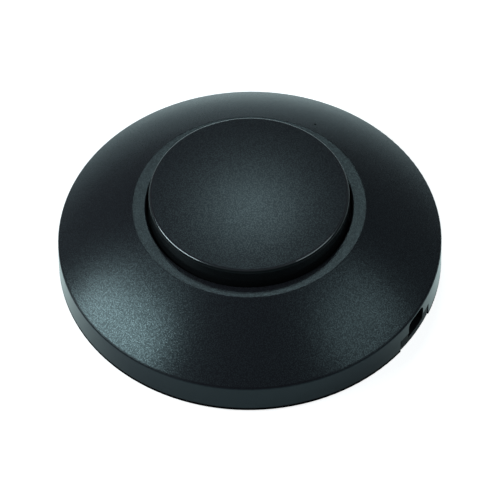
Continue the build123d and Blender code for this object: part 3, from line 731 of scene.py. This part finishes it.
def ringed(tree, position, base, rings, half_width):
    """Paints rings, each a position along the axis and a colour, over a base colour."""
    for place, colour in rings:
        away = arithmetic(tree, "ABSOLUTE", arithmetic(tree, "SUBTRACT", position, place))
        base = between(tree, arithmetic(tree, "LESS_THAN", away, half_width), base, colour, "RGBA")
    return base


def with_tinned_ends(tree, shader, body, along, half_length):
    """Gives the body its colour and tins everything further along the axis than the body's end."""
    wire = beyond(tree, arithmetic(tree, "ABSOLUTE", along), half_length + clear_of_body)
    tree.links.new(between(tree, wire, body, tinned, "RGBA"), shader.inputs["Base Color"])
    tree.links.new(wire, shader.inputs["Metallic"])


lacquer, tree, shader = plastic("resistor_coating", resistor_lacquer, 0.35)
outwards, sideways = around(resistor_place[0])
centre = tuple(resistor_place[1] * part for part in outwards[:2]) + (resistor_axis_height,)
along = reading(tree, sideways, centre)
body = ringed(tree, along, resistor_lacquer, resistor_rings, ring_half_width)
with_tinned_ends(tree, shader, body, along, resistor_half_length)
wear("power_resistor", lacquer)

# Diodes
# Two rectifier diodes moulded in black epoxy, each with a printed silver ring at its cathode. Their
# tinned wire ends are bent down and soldered to the board.
diode_angle = 168.0
diode_half_length = 0.0026
cathode_rings = ((0.0016, (0.60, 0.60, 0.60)),)
cathode_half_width = 0.0004
diode_black, tree, shader = plastic("diode_epoxy", epoxy_black, 0.4)
sideways = around(diode_angle)[1]
along = reading(tree, sideways)
body = ringed(tree, along, epoxy_black, cathode_rings, cathode_half_width)
with_tinned_ends(tree, shader, body, along, diode_half_length)
wear("diodes", diode_black)

# Controller chip
# A moulded package of black epoxy on two rows of tinned legs, soldered to the board, with a round
# dimple in its top at the first leg.
chip_angle, chip_circle = 215.0, 0.0114
chip_half_depth = 0.0032
chip_dimple = (-0.0018, 0.0034)
chip_dimple_radius, chip_dimple_floor = 0.0006, 0.00048
chip_dimple_depth = 0.0002
chip_black, tree, shader = plastic("controller_epoxy", epoxy_black, 0.5)
outwards, sideways = around(chip_angle)
centre = tuple(chip_circle * part for part in outwards[:2]) + (0.0,)
from_middle = arithmetic(tree, "ABSOLUTE", reading(tree, outwards, centre))
legs = beyond(tree, from_middle, chip_half_depth + clear_of_body)
with_metal(tree, shader, legs, epoxy_black, lead_roughness)
dimple = tuple(
    centre[axis] + chip_dimple[0] * outwards[axis] + chip_dimple[1] * sideways[axis] for axis in (0, 1)
) + (0.0,)
flat = distance_from(tree, dimple, (1.0, 1.0, 0.0))
dip = smooth_step(tree, flat, chip_dimple_floor, chip_dimple_radius, 1.0, 0.0)
left_flat = arithmetic(tree, "SUBTRACT", 1.0, dip)
tree.links.new(raised(tree, left_flat, chip_dimple_depth), shader.inputs["Normal"])
wear("controller_chip", chip_black)

# Varistor
# A ceramic disc dipped in blue epoxy, standing on two tinned wires that are soldered to the board. The
# dip leaves a glossy skin.
varistor_low = 0.0076
dip_blue = (0.02, 0.09, 0.36)
dip_roughness = (0.25, 0.3)
varistor_blue, tree, shader = plastic("varistor_coating", dip_blue, 0.25)
wires = beyond(tree, varistor_low, reading(tree, (0.0, 0.0, 1.0)))
with_metal(tree, shader, wires, dip_blue, dip_roughness)
wear("varistor", varistor_blue)

# Fuse
# A glass tube with a nickel-plated brass cap pressed on each end and a thin wire from cap to cap
# inside. The clips hold it by its caps.
fuse_angle, fuse_circle = 40.0, 0.0215
fuse_axis_height = 0.0107
fuse_half_length, fuse_cap_length = 0.0100, 0.0050
fuse_radius, fuse_glass_radius, fuse_bore_radius = 0.0026, 0.00238, 0.0019
fuse_bevel = 0.0003
fuse_wire_radius = 0.00012
haze_size, haze_roughness = 0.002, (0.02, 0.06)


def turned_piece(name, profile, sides=48, looped=False):
    """Object turned about the fuse's axis: m + along s + radius (cos a o + sin a z), a once round.

    m is the fuse's middle, s its axis, o outwards from the Z axis and z upwards.
    """
    outwards, sideways = (np.array(part) for part in around(fuse_angle))
    along, radius = np.array(profile).T
    a = np.linspace(0.0, 2.0 * np.pi, sides, endpoint=False)[None, :, None]
    ring = np.cos(a) * outwards + np.sin(a) * np.array((0.0, 0.0, 1.0))
    middle = fuse_circle * outwards + np.array((0.0, 0.0, fuse_axis_height))
    points = middle + along[:, None, None] * sideways + radius[:, None, None] * ring
    return grid_mesh(name, points, looped)


shoulder = fuse_half_length - fuse_cap_length
cap_profile = [
    (shoulder, fuse_radius),
    (fuse_half_length - fuse_bevel, fuse_radius),
    (fuse_half_length, fuse_radius - fuse_bevel),
]
glass_profile = [
    (-shoulder, fuse_bore_radius),
    (-shoulder, fuse_glass_radius),
    (shoulder, fuse_glass_radius),
    (shoulder, fuse_bore_radius),
]
far_profile = [(-along, radius) for along, radius in cap_profile]
wire_profile = [(-shoulder, fuse_wire_radius), (shoulder, fuse_wire_radius)]
clear_glass = {"Transmission_Weight": 1.0, "IOR": 1.47}
fuse_glass, tree, shader = finish("fuse_glass", (0.95, 0.97, 0.97), 0.03, **clear_glass)
haze = smooth_step(tree, noise(tree, haze_size, 2.0), *noise_span, *haze_roughness)
tree.links.new(haze, shader.inputs["Roughness"])
fuse_nickel = metal("fuse_nickel", (0.70, 0.66, 0.60), 0.24)
fuse_pieces = [
    (turned_piece("fuse_glass_tube", glass_profile, looped=True), fuse_glass, "fuse_glass"),
    (turned_piece("fuse_cap_near", cap_profile), fuse_nickel, "clip_metal"),
    (turned_piece("fuse_cap_far", far_profile), fuse_nickel, "clip_metal"),
    (turned_piece("fuse_wire", wire_profile, sides=12), fuse_nickel, "clip_metal"),
]
for piece, material, slot in fuse_pieces:
    piece.data.materials.append(material)
    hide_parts("fuse")
    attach(piece, "housing")

# Fuse clips
# Two clips bent from tinned brass strip and soldered to the board. The springy sides of each hug one
# cap of the fuse.
clip_metal = metal("clip_metal", (0.68, 0.64, 0.56), 0.28)
wear("fuse_clips", clip_metal)

# Screw terminals
# Two moulded blocks of light grey polyamide at the ports, for the supply lead and for the lamp's. Each
# is soldered to the board and clamps the wires with screws.
terminal_grey = plastic("terminal_plastic", (0.36, 0.38, 0.38), 0.42)[0]
wear("supply_terminal", terminal_grey)
wear("lamp_terminal", terminal_grey)

# Cord grips
# A moulded bar of black nylon at each port, pulled down on the lead by two screws. It is dull and
# slightly grey.
grip_black = plastic("grip_plastic", (0.024, 0.024, 0.026), 0.5)[0]
wear("supply_cord_grip", grip_black)
wear("lamp_cord_grip", grip_black)
